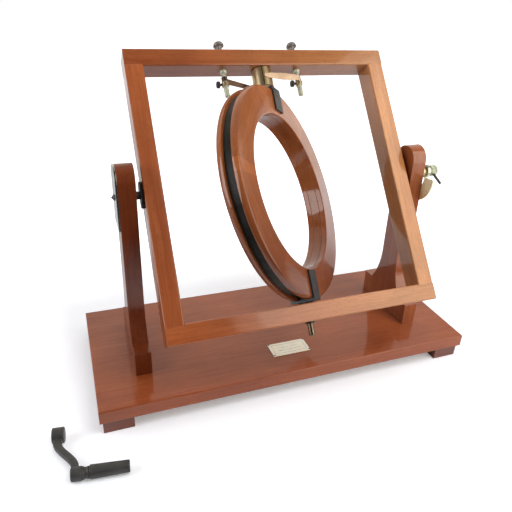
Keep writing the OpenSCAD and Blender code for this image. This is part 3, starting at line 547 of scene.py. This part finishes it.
def smooth(share):
    """0 to 1 with a soft start and end"""
    return share * share * (3 - 2 * share)


def to_object(name, bm):
    """Plain object in the scene, from a mesh in work"""
    bmesh.ops.recalc_face_normals(bm, faces=bm.faces)
    mesh = bpy.data.meshes.new(name)
    bm.to_mesh(mesh)
    bm.free()
    thing = bpy.data.objects.new(name, mesh)
    bpy.context.scene.collection.objects.link(thing)
    return thing


def to_bmesh(thing):
    """Mesh in work, with an object's modifiers applied; the object itself is removed"""
    shape = bpy.data.meshes.new_from_object(thing.evaluated_get(bpy.context.evaluated_depsgraph_get()))
    bpy.data.objects.remove(thing)
    bm = bmesh.new()
    bm.from_mesh(shape)
    return bm


def add_piece(name, bm, node, sharp=35):
    """Piece that takes a node's place, with that node's look; edges over an angle stay sharp"""
    piece = to_object(name, bm)
    piece.data.materials.append(LOOKS[node])
    piece.data.shade_smooth()
    piece.data.set_sharp_from_angle(angle=math.radians(sharp))
    body = body_of(NODES[node])[0]
    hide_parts(node)
    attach(piece, body)
    return piece


def cut_away(thing, cutter, label):
    """Mesh in work of an object less another one; both objects are removed"""
    cut = thing.modifiers.new(label, "BOOLEAN")
    cut.operation = "DIFFERENCE"
    cut.object = cutter
    cut.solver = "EXACT"
    bm = to_bmesh(thing)
    bpy.data.objects.remove(cutter)
    return bm


def join_rows(bm, rows, closed):
    """Faces between rows of points, each row a closed ring"""
    pairs = list(zip(rows, rows[1:])) + ([(rows[-1], rows[0])] if closed else [])
    for low, high in pairs:
        for k in range(len(low)):
            bm.faces.new((low[k - 1], low[k], high[k], high[k - 1]))
    if not closed:
        bm.faces.new(rows[0])
        bm.faces.new(rows[-1])


def lathe(profile, origin, axis, count=96, closed=False, wave=None, bm=None):
    """Profile of (radius, distance along the axis) pairs in millimetres, turned round the axis"""
    bm = bm or bmesh.new()
    side = axis.orthogonal().normalized()
    other = axis.cross(side)
    rows = []
    for radius, along in profile:
        row = []
        for k in range(count):
            angle = 2 * math.pi * k / count
            reach = (radius + (wave(k, angle, radius) if wave else 0)) / 1000
            out = math.cos(angle) * side + math.sin(angle) * other
            row.append(bm.verts.new(origin + axis * along / 1000 + out * reach))
        rows.append(row)
    join_rows(bm, rows, closed)
    return bm


def milled(depth, teeth_from):
    """Wave for a lathe: every third line of a head is cut in, outside a radius"""
    return lambda k, angle, radius: -depth if k % 3 == 0 and radius > teeth_from else 0


# CAD pieces that only need rounder edges: node, slot, width of the edge in millimetres, name
SOFTENED = [
    ("left_upright", "dark_mahogany", 0.9, "rubbed_left_upright"),
    ("right_upright", "mahogany", 0.9, "rubbed_right_upright"),
    ("feet", "mahogany", 0.8, "rubbed_feet"),
    ("top_strap", "black_iron", 0.4, "filed_top_strap"),
    ("bottom_strap", "black_iron", 0.4, "filed_bottom_strap"),
    ("left_trunnion_plate", "black_iron", 0.4, "filed_left_plate"),
    ("right_trunnion_plate", "black_iron", 0.4, "filed_right_plate"),
    ("left_bearing_plate", "black_iron", 0.35, "filed_cheek"),
    ("scale_arc", "lacquered_brass", 0.12, "filed_arc"),
]
# Least angle of an arris that is rubbed round, and most angle of an edge inside a flat face
ARRIS_ANGLE = math.radians(30)
FLAT_ANGLE = math.radians(0.3)


def add_softened(node, width, name):
    """Copy of a CAD node with its arrises rubbed round"""
    bm = bmesh.new()
    bm.from_mesh(NODES[node].data)
    bmesh.ops.remove_doubles(bm, verts=bm.verts, dist=1e-6)
    bmesh.ops.dissolve_limit(bm, angle_limit=FLAT_ANGLE, verts=bm.verts, edges=bm.edges)
    sharp = [e for e in bm.edges if len(e.link_faces) == 2 and e.calc_face_angle() > ARRIS_ANGLE]
    bmesh.ops.bevel(bm, geom=sharp, offset=width / 1000, offset_type="OFFSET", segments=3,
                    profile=0.5, affect="EDGES", clamp_overlap=True, loop_slide=True)
    bmesh.ops.triangulate(bm, faces=bm.faces)
    piece = add_piece(name, bm, node, 40)
    even = piece.modifiers.new("even", "WEIGHTED_NORMAL")
    even.keep_sharp = True


# Outer arris of a flange, a quarter of an ellipse, in millimetres
ARRIS_WIDE = 3.4
ARRIS_DEEP = 5.9
ARRIS_STEPS = 12
# Notch for the bottom strap, in metres: its sides across, out of and along the ring, and its place
NOTCH = (0.020, 0.060, 0.010)
NOTCH_DOWN = 0.1379


def flange_profile(face):
    """Section of a flange; face is 1 at the front and -1 at the back"""
    section = [(HOLE_RADIUS + 0.4, GROOVE_HALF), (HOLE_RADIUS + 0.8, GROOVE_HALF),
               (RIM_RADIUS - 0.7, GROOVE_HALF), (RIM_RADIUS - 0.3, GROOVE_HALF),
               (RIM_RADIUS, GROOVE_HALF + 0.4)]
    for step in range(ARRIS_STEPS + 1):
        angle = math.pi / 2 * step / ARRIS_STEPS
        section.append((RIM_RADIUS - ARRIS_WIDE * (1 - math.cos(angle)),
                        RING_HALF - ARRIS_DEEP * (1 - math.sin(angle))))
    section += [(RIM_RADIUS - 3.9, RING_HALF), (HOLE_RADIUS + 1.2, RING_HALF),
                (HOLE_RADIUS + 0.7, RING_HALF), (HOLE_RADIUS + 0.2, RING_HALF - 0.2),
                (HOLE_RADIUS, RING_HALF - 0.7), (HOLE_RADIUS, RING_HALF - 1.1),
                (HOLE_RADIUS, GROOVE_HALF + 0.4)]
    return [(radius, face * along) for radius, along in section]


def add_flange(name, face, node):
    """Flange of the ring, well rounded on the outside"""
    flange = to_object(name, lathe(flange_profile(face), RING_CENTRE, RING_FRONT, 240, True))
    block = bmesh.new()
    bmesh.ops.create_cube(block, size=1)
    axes = Matrix((RING_SIDE * NOTCH[0], RING_FRONT * NOTCH[1], U * NOTCH[2])).transposed().to_4x4()
    at = Matrix.Translation(RING_CENTRE - U * NOTCH_DOWN)
    bmesh.ops.transform(block, matrix=at @ axes, verts=block.verts)
    shape = cut_away(flange, to_object("notch", block), "notch")
    add_piece(name, shape, node, 32)


def slack(k, angle, radius):
    """Wave for the winding: turns that don't lie quite true"""
    return 0.07 * math.sin(7 * angle + 40 * radius) + 0.04 * math.sin(23 * angle + 90 * radius)


def add_winding():
    """Turns of covered wire side by side in the groove"""
    count = 14
    wire = 2 * GROOVE_HALF / count
    profile = []
    for turn in range(count):
        for step in (-0.96, -0.6, 0.0, 0.6, 0.96):
            lift = math.sqrt(1 - step * step) * wire / 2
            profile.append((WINDING_RADIUS - wire / 2 + lift, (turn - (count - 1) / 2 + step / 2) * wire))
    profile += [(CORE_RADIUS, GROOVE_HALF), (CORE_RADIUS, -GROOVE_HALF)]
    shape = lathe(profile, RING_CENTRE, RING_FRONT, 240, True, slack)
    add_piece("wound_coil", shape, "coil_winding", 60)


def add_nut():
    """Knurled clamp nut with a plain collar towards the washer"""
    profile = [(4.05, 0), (6.4, 0), (7.0, 0.5), (7.0, 2.0), (6.6, 2.3), (6.6, 2.9), (7.5, 3.3),
               (7.5, 11.9), (7.0, 12.6), (5.6, 13), (4.05, 13)]
    start = Vector((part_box("clamp_nut")[0][0], 0, PIVOT.z))
    shape = lathe(profile, start, X, 144, True, milled(0.4, 7.4))
    add_piece("knurled_nut", shape, "clamp_nut", 25)


def add_thumb_screw(hand):
    """Thumb screw with a milled head"""
    profile = [(1.5, 3.6), (1.5, 6.8), (2.4, 7.5), (3.7, 7.5), (4.3, 8.1), (4.3, 10.7), (3.8, 11.4),
               (2.6, 11.8), (1.0, 11.9)]
    middle = on_frame(POSTS[hand], POST_DEPTH, THUMB_HEIGHT)
    shape = lathe(profile, middle, -X, 60, False, milled(0.28, 4.2))
    add_piece(f"{hand}_milled_screw", shape, f"{hand}_thumb_screw", 25)


def add_terminal(hand):
    """Terminal cap: a waisted stem under a dome, with a blind bore"""
    profile = [(2.55, 12.5), (2.55, 1.0), (4.0, 1.0), (4.0, 1.6), (3.5, 2.2), (3.4, 6.5), (3.9, 8.6),
               (5.4, 9.9), (6.6, 10.5), (6.8, 11.0), (6.75, 11.8), (6.3, 13.4), (5.4, 14.9), (4.1, 15.8),
               (2.3, 16.35), (0.3, 16.5)]
    shape = lathe(profile, on_frame(POSTS[hand], POST_DEPTH, RAIL_TOP), U, 72)
    add_piece(f"{hand}_domed_cap", shape, f"{hand}_terminal_cap", 40)


# Brush leaves, in millimetres: how far a leaf's line passes from the post's middle and from the
# spindle's, the section of the eye round the post, and where the droop starts along the leaf
LEAF_OFF_POST = 3.5
LEAF_OFF_SPINDLE = 13.6
EYE = [(3.25, -2.8), (3.85, -2.8), (3.85, 2.8), (3.25, 2.8)]
DROOP_FROM = 5.9
# Depth of a leaf's two faces from its line, and the share of the reach where its tip starts
LEAF_FACES = (-0.25, 0.3)
LEAF_TIP = 0.95
LEAF_STEPS = 40


def leaf_half(share, outline):
    """Half the width of a leaf, eased between the outline's points and rounded at the tip"""
    for (a, wide_a), (b, wide_b) in zip(outline, outline[1:]):
        if a <= share <= b:
            half = wide_a + (wide_b - wide_a) * smooth((share - a) / (b - a))
    if share > LEAF_TIP:
        half *= math.sqrt(max(0.04, 1 - ((share - LEAF_TIP) / (1 - LEAF_TIP)) ** 2))
    return half


def add_leaf(hand, reach, droop, outline):
    """Brush leaf: an eye round the post and a leaf-shaped spring of a reach, drooping by degrees"""
    post = POSTS[hand]
    side = 1 if post > 0 else -1
    off_spindle = math.asin((LEAF_OFF_SPINDLE - LEAF_OFF_POST) / math.hypot(post, POST_DEPTH))
    slope = off_spindle - math.atan2(-side * POST_DEPTH, abs(post))
    bm = lathe(EYE, on_frame(post, POST_DEPTH, LEAF_HEIGHT), U, 64, True)

    def point(t, height, depth):
        x = -t
        y = -LEAF_OFF_POST - depth
        turned_x = side * (x * math.cos(slope) - y * math.sin(slope))
        turned_y = side * (x * math.sin(slope) + y * math.cos(slope))
        fall = max(0.0, t - DROOP_FROM) * math.tan(math.radians(droop))
        return on_frame(post + turned_x, POST_DEPTH + turned_y, LEAF_HEIGHT + height - fall)

    rows = []
    near, far = LEAF_FACES
    for k in range(LEAF_STEPS + 1):
        share = k / LEAF_STEPS
        half = leaf_half(share, outline)
        section = ((-half, near), (-half + 0.1, far), (half - 0.1, far), (half, near))
        rows.append([bm.verts.new(point(reach * share, height, depth)) for height, depth in section])
    join_rows(bm, rows, False)
    add_piece(f"{hand}_spring_leaf", bm, f"{hand}_brush_leaf", 30)


# The crank's own axes: X along the socket and the grip, -Y from the boss to the hub
ARM_LENGTH = 56.5
ARM_RISE = 1.4
CRANK = (Matrix.Translation((-0.2993, -0.0976, 0.009)) @ Matrix.Rotation(math.radians(-6.8), 4, "Z")
         @ Matrix.Rotation(math.asin(ARM_RISE / ARM_LENGTH), 4, "X"))
CRANK_X = (CRANK.to_3x3() @ X).normalized()
# Bend of the arm: where it starts, how long it is and how far it goes sideways
BEND_START = 11.5
BEND_LENGTH = 37.0
BEND_SIDE = 21.1
# Section of the arm: middle and radius of its rounded corner
CORNER = (2.4, 1.9)
CORNER_RADIUS = 1.2
ARM_STEPS = 40
# Scale of the section's width, and by how much and over what length it swells at the boss
ARM_WIDE = 1.12
SWELL = 0.5
SWELL_LENGTH = 22.0
# Fineness of the skin over the arm, in metres
SKIN_CELL = 0.00045
# Turned forms on the crank's X: radius and distance from the boss's or the hub's middle
BOSS = [(8.4, -6.7), (9, -6.1), (9, 6.1), (8.4, 6.7)]
SOCKET = [(3.9, -7.7), (3.9, 4.3)]
HUB = [(6.8, 17.2), (7.6, 18.0), (7.6, 28.4), (6.8, 29.2)]
COLLAR = [(2.5, 29.2), (6.7, 29.2), (6.9, 29.9), (6.1, 31.2), (5.9, 32.8), (6.3, 34.2), (6.6, 35.2),
          (6.1, 36.2), (2.5, 36.2)]


def on_crank(x, y, z):
    """A point in the crank's own axes, given in millimetres"""
    return CRANK @ Vector((x / 1000, y / 1000, z / 1000))


def arm_section():
    """Rounded rectangle, as (across, up) pairs"""
    section = []
    for sign_x, sign_z, first in ((1, 1, 0), (-1, 1, 90), (-1, -1, 180), (1, -1, 270)):
        for step in (0, 30, 60, 90):
            angle = math.radians(first + step)
            section.append((sign_x * CORNER[0] + CORNER_RADIUS * math.cos(angle),
                            sign_z * CORNER[1] + CORNER_RADIUS * math.sin(angle)))
    return section


def arm_rows(bm):
    """Sections along the arm, square to its double bend and wider towards the boss"""
    rows = []
    for k in range(ARM_STEPS + 1):
        y = -ARM_LENGTH * k / ARM_STEPS
        share = min(1.0, max(0.0, (-y - BEND_START) / BEND_LENGTH))
        x = BEND_SIDE * smooth(share)
        slant = BEND_SIDE * 6 * share * (1 - share) / BEND_LENGTH
        wide = (ARM_WIDE + SWELL * max(0.0, 1 + y / SWELL_LENGTH)) / math.hypot(1, slant)
        rows.append([bm.verts.new(on_crank(x + w * wide, y + w * wide * slant, z))
                     for w, z in arm_section()])
    return rows


def add_arm():
    """Cast arm, whose boss, arm and hub run into each other, with a clean socket"""
    bm = bmesh.new()
    join_rows(bm, arm_rows(bm), False)
    lathe(BOSS, on_crank(0, 0, 0), CRANK_X, bm=bm)
    lathe(HUB, on_crank(0, -ARM_LENGTH, 0), CRANK_X, bm=bm)
    casting = to_object("casting", bm)
    skin = casting.modifiers.new("remesh", "REMESH")
    skin.mode = "VOXEL"
    skin.voxel_size = SKIN_CELL
    fillets = casting.modifiers.new("soften", "SMOOTH")
    fillets.factor = 0.5
    fillets.iterations = 10
    casting = to_object("casting", to_bmesh(casting))
    cutter = to_object("cutter", lathe(SOCKET, on_crank(0, 0, 0), CRANK_X))
    add_piece("cast_arm", cut_away(casting, cutter, "socket"), "crank_arm", 45)


def add_collar():
    """Waisted collar between the hub and the grip"""
    shape = lathe(COLLAR, on_crank(0, -ARM_LENGTH, 0), CRANK_X, closed=True)
    add_piece("waisted_collar", shape, "crank_collar")


for node, slot, width, name in SOFTENED:
    add_softened(node, width, name)
add_flange("rounded_front_flange", 1, "front_flange")
add_flange("rounded_back_flange", -1, "back_flange")
add_winding()
add_nut()
for hand in POSTS:
    add_thumb_screw(hand)
for hand in POSTS:
    add_terminal(hand)
add_leaf("left", 54.0, 8, ((0, 3.8), (0.15, 3.9), (0.8, 3.4), (1, 2.4)))
add_leaf("right", 52.6, 0, ((0, 3.7), (0.12, 4.0), (0.45, 4.7), (0.75, 3.9), (1, 2.4)))
add_arm()
add_collar()

# The floor's pale sheet ends in front of the object, between these two places along Y
SHEET_END = (-0.44, -0.26)
# Glow that the camera sees on the floor: weak close to the base, where its shadow is kept, and full
# far away. It rises between these distances from the rectangle round the base, in metres
NEAR_FILL = 0.24
FAR_FILL = 1.0
BASE_HALF = (0.254, 0.16)
FILL_FADE = (0.02, 0.24)


def add_floor():
    """Floor that is pale to the camera, dark in front and bright far behind to reflections"""
    bpy.ops.mesh.primitive_plane_add(size=12, location=(0, 0, 0))
    floor = bpy.context.object
    floor.name = "floor"
    g = Look("floor_white")
    p = g.coords()
    x = g.dot(p, X)
    y = g.dot(p, Y)
    sheet = g.remap(y, *SHEET_END, 0.03, 0.86)
    g.base(Base_Color=g.combine(g.times(sheet, 0.97), sheet, g.times(sheet, 1.08)))
    g.base(Roughness=0.9, Specular_IOR_Level=0.0)

    # Seen by the camera: fuller beyond the sheet and away from the base
    fill = g.remap(y, *SHEET_END, FAR_FILL, NEAR_FILL)
    outside = g.higher(g.minus(g.size(x), BASE_HALF[0]), g.minus(g.size(y), BASE_HALF[1]))
    fill = g.higher(fill, g.remap(outside, *FILL_FADE, NEAR_FILL, FAR_FILL))

    # Seen in metal and polish: bright far away and at the right, and only behind a slanting line
    far = g.remap(g.length(p), 0.9, 2.2, 0.05, 0.6)
    far = g.plus(far, g.remap(x, 0.5, 0.95, 0.0, 0.75))
    rear = g.minus(y, g.times(x, 0.44))
    far = g.times(far, g.remap(rear, -0.06, 0.02, 0.0, 1.0))

    ray = g.add("ShaderNodeLightPath").outputs
    mirrored = g.higher(ray["Is Glossy Ray"], ray["Is Transmission Ray"])
    glow = g.plus(g.times(ray["Is Camera Ray"], fill), g.times(mirrored, far))
    g.base(Emission_Color=(1, 1, 1, 1), Emission_Strength=glow)
    floor.data.materials.append(g.material)


def add_world():
    """World that is white for the camera and a soft warm room for everything else"""
    world = bpy.data.worlds.new("room")
    bpy.context.scene.world = world
    world.use_nodes = True
    g = Nodes(world.node_tree)
    p = g.coords("Generated")
    x = g.dot(p, X)
    z = g.dot(p, Z)

    # Dark towards the front and overhead, half bright at the left
    behind = g.fade(g.dot(p, Y), -0.35, 0.25, 0.08, 1.0)
    overhead = g.fade(z, 0.55, 0.95, 1.0, 0.45)
    left = g.fade(x, -0.95, -0.35, 0.45, 1.0)
    level = g.times(g.times(behind, overhead), left)

    # Dim at the right, but for a bright zone low down
    low_zone = g.times(g.fade(z, 0.07, 0.14, 1.0, 0.0), g.fade(x, 0.885, 0.915, 1.0, 0.0))
    change = g.times(g.fade(x, 0.55, 0.72, 0.0, 1.0), g.fade(low_zone, 0.0, 1.0, -0.68, 0.42))
    level = g.times(level, g.plus(1.0, change))

    room = g.add("ShaderNodeBackground")
    g.put(room.inputs[0], g.tint(level, (1.0, 0.96, 0.88, 1)))
    seen = g.add("ShaderNodeBackground")
    seen.inputs[0].default_value = (1, 1, 1, 1)
    choose = g.add("ShaderNodeMixShader")
    sources = (g.add("ShaderNodeLightPath").outputs["Is Camera Ray"], room.outputs[0], seen.outputs[0])
    for socket, source in zip(choose.inputs, sources):
        g.put(socket, source)
    g.put(g.add("ShaderNodeOutputWorld").inputs[0], choose.outputs[0])


# Main light at the front and the right; a wider, weaker panel in its place gives it a soft edge
KEY_PLACE = (0.512, -0.550, 0.631)
KEY_AIM = (0.032, 0.070, 0.431)
WARM = (1.0, 0.96, 0.87)
WHITE = (1, 1, 1)


def softbox(name, at, towards, width, height, power, colour=WHITE):
    """Panel of light, in metres and watts, that the camera doesn't see"""
    light = bpy.data.lights.new(name, "AREA")
    light.color = colour
    light.shape = "RECTANGLE"
    light.size = width
    light.size_y = height
    light.energy = power
    holder = bpy.data.objects.new(name, light)
    bpy.context.scene.collection.objects.link(holder)
    holder.location = at
    holder.rotation_euler = (Vector(towards) - Vector(at)).to_track_quat("-Z", "Y").to_euler()
    holder.visible_camera = False
    return holder


def add_lights():
    softbox("key", KEY_PLACE, KEY_AIM, 0.74, 1.19, 6.3, WARM)
    softbox("key_edge", KEY_PLACE, KEY_AIM, 0.88, 1.33, 4.0, WARM)
    softbox("side", (-0.95, -0.12, 0.55), (0, 0, 0.2), 0.6, 0.6, 4.3)
    top = softbox("top", (0.3, -0.45, 1.5), (0, 0, 0.1), 1.2, 0.9, 9.5)
    top.visible_glossy = False


# The photograph's camera, fitted to the corners of the base and of the frame
CAMERA_PLACE = (-0.2513, -0.5626, 0.4689)
CAMERA_LOOK = (0.3225, 0.8248, -0.4644)
CAMERA_RIGHT = (0.9313, -0.3641, 0.0)
CAMERA_ROLL = 0.0484
CAMERA_LENS = 36.03
SENSOR_WIDTH = 36


def add_camera():
    data = bpy.data.cameras.new("camera")
    data.sensor_width = SENSOR_WIDTH
    data.lens = CAMERA_LENS
    data.clip_start = 0.01
    camera = bpy.data.objects.new("camera", data)
    bpy.context.scene.collection.objects.link(camera)
    look = Vector(CAMERA_LOOK).normalized()
    level = Vector(CAMERA_RIGHT).normalized()
    upright = level.cross(look)
    right = math.cos(CAMERA_ROLL) * level + math.sin(CAMERA_ROLL) * upright
    up = -math.sin(CAMERA_ROLL) * level + math.cos(CAMERA_ROLL) * upright
    turned = Matrix((right, up, -look)).transposed().to_4x4()
    camera.matrix_world = Matrix.Translation(CAMERA_PLACE) @ turned
    bpy.context.scene.camera = camera
    bpy.context.scene.view_settings.view_transform = "Standard"


add_floor()
add_world()
add_lights()
add_camera()
